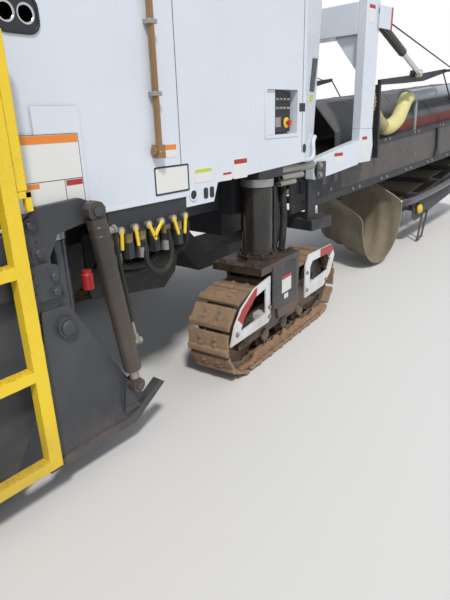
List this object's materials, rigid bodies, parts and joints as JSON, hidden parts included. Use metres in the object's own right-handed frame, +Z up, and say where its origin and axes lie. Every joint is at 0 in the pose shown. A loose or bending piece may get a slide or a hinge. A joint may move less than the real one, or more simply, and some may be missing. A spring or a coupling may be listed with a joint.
{
  "type": "cold planer",
  "caption": "Cold planer on four crawler tracks with a cutter drum, water tank, canopy and a folded front conveyor.",
  "frame": {"origin": "on the ground under the middle of the machine's length and width, conveyor included", "axes": "+X forward to the discharge conveyor, +Y to the machine's left, +Z up"},
  "size_m": [12.9871, 2.7003, 3.0781],
  "materials": {
    "belt_rubber": "dusty",
    "black_plastic": "matte",
    "brown_tube": "stained",
    "chrome_rod": "polished",
    "cylinder_paint": "satin",
    "drum_steel": "worn",
    "frame_paint": "satin, dusty",
    "greased_steel": "greasy",
    "grey_cover": "satin, dusty",
    "lamp_red": "gloss",
    "rusty_steel": "rusty, earthy",
    "steel": "dull",
    "white_paint": "gloss, dusty",
    "yellow_paint": "gloss, worn"
  },
  "bodies": {
    "chassis": {"canopy_posts": "frame_paint", "collecting_belt": "belt_rubber", "collecting_frame": "frame_paint", "collecting_hood": "black_plastic", "drum_housing": "frame_paint", "engine_bay": "white_paint", "engine_block": "drum_steel", "ladders": "yellow_paint", "main_frame": "frame_paint", "operator_consoles": "black_plastic", "platform": "frame_paint", "platform_rails": "yellow_paint", "rear_grille": "black_plastic", "side_consoles": "black_plastic", "sight_tube": "brown_tube", "slide_barrels": "cylinder_paint", "tail_lamps": "lamp_red", "valve_manifold": "frame_paint", "water_tank": "white_paint"},
    "track_front_right": {"track_shoes_front_right": "rusty_steel", "track_carrier_front_right": "greased_steel", "track_guards_front_right": "white_paint"},
    "track_front_left": {"track_shoes_front_left": "rusty_steel", "track_carrier_front_left": "greased_steel", "track_guards_front_left": "white_paint"},
    "track_rear_right": {"track_shoes_rear_right": "rusty_steel", "track_carrier_rear_right": "greased_steel", "track_guards_rear_right": "white_paint"},
    "track_rear_left": {"track_shoes_rear_left": "rusty_steel", "track_carrier_rear_left": "greased_steel", "track_guards_rear_left": "white_paint"},
    "cutter_drum": {"drum_shell": "drum_steel", "drum_hubs": "drum_steel"},
    "side_plate_right": {"side_plate_right": "frame_paint", "slide_rods_right": "chrome_rod"},
    "skid_right": {"skid_right": "frame_paint"},
    "skid_barrel_right": {"skid_barrel_right": "cylinder_paint"},
    "skid_rod_right": {"skid_rod_right": "chrome_rod"},
    "side_plate_left": {"side_plate_left": "frame_paint", "slide_rods_left": "chrome_rod"},
    "skid_left": {"skid_left": "frame_paint"},
    "skid_barrel_left": {"skid_barrel_left": "cylinder_paint"},
    "skid_rod_left": {"skid_rod_left": "chrome_rod"},
    "scraper": {"scraper": "frame_paint"},
    "canopy": {"canopy": "white_paint"},
    "engine_hood": {"engine_hood": "white_paint", "exhaust": "steel"},
    "yoke": {"yoke": "white_paint"},
    "conveyor": {"conveyor_frame": "frame_paint", "conveyor_cover": "grey_cover", "conveyor_belt": "belt_rubber", "belt_loop": "belt_rubber", "dust_duct": "grey_cover"},
    "conveyor_tip": {"tip_frame": "frame_paint", "tip_belt": "belt_rubber"},
    "lift_barrels": {"lift_barrels": "cylinder_paint"},
    "lift_rods": {"lift_rods": "chrome_rod"}
  },
  "joints": [
    {"name": "steer_front_right", "type": "hinge", "parent": "chassis", "child": "track_front_right", "pos_m": [-0.175, -1.088, 1.265], "axis": [0, 0, 1], "range_deg": [-25, 15]},
    {"name": "steer_front_left", "type": "hinge", "parent": "chassis", "child": "track_front_left", "pos_m": [-0.175, 1.088, 1.265], "axis": [0, 0, 1], "range_deg": [-25, 15]},
    {"name": "steer_rear_right", "type": "hinge", "parent": "chassis", "child": "track_rear_right", "pos_m": [-5.59, -1.088, 1.265], "axis": [0, 0, 1], "range_deg": [-15, 15]},
    {"name": "steer_rear_left", "type": "hinge", "parent": "chassis", "child": "track_rear_left", "pos_m": [-5.59, 1.088, 1.265], "axis": [0, 0, 1], "range_deg": [-15, 15]},
    {"name": "drum_spin", "type": "hinge", "parent": "chassis", "child": "cutter_drum", "pos_m": [-2.625, 0, 0.77], "axis": [0, 1, 0], "continuous": true},
    {"name": "side_plate_lift_right", "type": "slide", "parent": "chassis", "child": "side_plate_right", "axis": [0, 0, 1], "range_m": [0, 0.36]},
    {"name": "skid_tilt_right", "type": "hinge", "parent": "side_plate_right", "child": "skid_right", "pos_m": [-1.859, -1.252, 0.813], "axis": [0, -1, 0], "range_deg": [-8, 10]},
    {"name": "skid_barrel_swing_right", "type": "hinge", "parent": "side_plate_right", "child": "skid_barrel_right", "pos_m": [-1.675, -1.306, 1.29], "axis": [0, -1, 0], "range_deg": [-5, 6]},
    {"name": "skid_rod_slide_right", "type": "slide", "parent": "skid_barrel_right", "child": "skid_rod_right", "axis": [0.1445, 0, -0.9895], "range_m": [-0.049, 0.04]},
    {"name": "side_plate_lift_left", "type": "slide", "parent": "chassis", "child": "side_plate_left", "axis": [0, 0, 1], "range_m": [0, 0.36]},
    {"name": "skid_tilt_left", "type": "hinge", "parent": "side_plate_left", "child": "skid_left", "pos_m": [-1.859, 1.252, 0.813], "axis": [0, -1, 0], "range_deg": [-8, 10]},
    {"name": "skid_barrel_swing_left", "type": "hinge", "parent": "side_plate_left", "child": "skid_barrel_left", "pos_m": [-1.675, 1.306, 1.29], "axis": [0, -1, 0], "range_deg": [-5, 6]},
    {"name": "skid_rod_slide_left", "type": "slide", "parent": "skid_barrel_left", "child": "skid_rod_left", "axis": [0.1445, 0, -0.9895], "range_m": [-0.049, 0.04]},
    {"name": "scraper_lift", "type": "slide", "parent": "chassis", "child": "scraper", "axis": [0, 0, 1], "range_m": [0, 0.3]},
    {"name": "canopy_raise", "type": "slide", "parent": "chassis", "child": "canopy", "axis": [0, 0, 1], "range_m": [0, 0.8]},
    {"name": "hood_open", "type": "hinge", "parent": "chassis", "child": "engine_hood", "pos_m": [-4.01, 0, 2.53], "axis": [0, 1, 0], "range_deg": [0, 50]},
    {"name": "conveyor_swing", "type": "hinge", "parent": "chassis", "child": "yoke", "pos_m": [1.2, 0, 0.54], "axis": [0, 0, 1], "range_deg": [-45, 55]},
    {"name": "conveyor_lift", "type": "hinge", "parent": "yoke", "child": "conveyor", "pos_m": [1.10536, 0.00828, 1.19], "axis": [-0.0872, -0.9962, 0], "range_deg": [0, 18]},
    {"name": "conveyor_unfold", "type": "hinge", "parent": "conveyor", "child": "conveyor_tip", "pos_m": [6.35072, -0.45063, 1.15321], "axis": [-0.0872, -0.9962, 0], "range_deg": [0, 173], "deforming": ["belt_loop"]},
    {"name": "lift_barrels_swing", "type": "hinge", "parent": "yoke", "child": "lift_barrels", "pos_m": [2.10853, -0.07949, 2.42], "axis": [-0.0872, -0.9962, 0], "range_deg": [-1, 39.7]},
    {"name": "lift_rods_slide", "type": "slide", "parent": "lift_barrels", "child": "lift_rods", "axis": [0.9193, -0.0804, -0.3853], "range_m": [-0.419, 0.01]}
  ],
  "couplings": [
    {"joint": "skid_barrel_swing_right", "follows": "skid_tilt_right", "ratio": 0.50481},
    {"joint": "skid_rod_slide_right", "follows": "skid_tilt_right", "m_per_rad": -0.25101},
    {"joint": "skid_barrel_swing_left", "follows": "skid_tilt_left", "ratio": 0.50481},
    {"joint": "skid_rod_slide_left", "follows": "skid_tilt_left", "m_per_rad": -0.25101},
    {"joint": "lift_barrels_swing", "follows": "conveyor_lift", "ratio": 2.1502},
    {"joint": "lift_rods_slide", "follows": "conveyor_lift", "m_per_rad": -1.302}
  ]
}
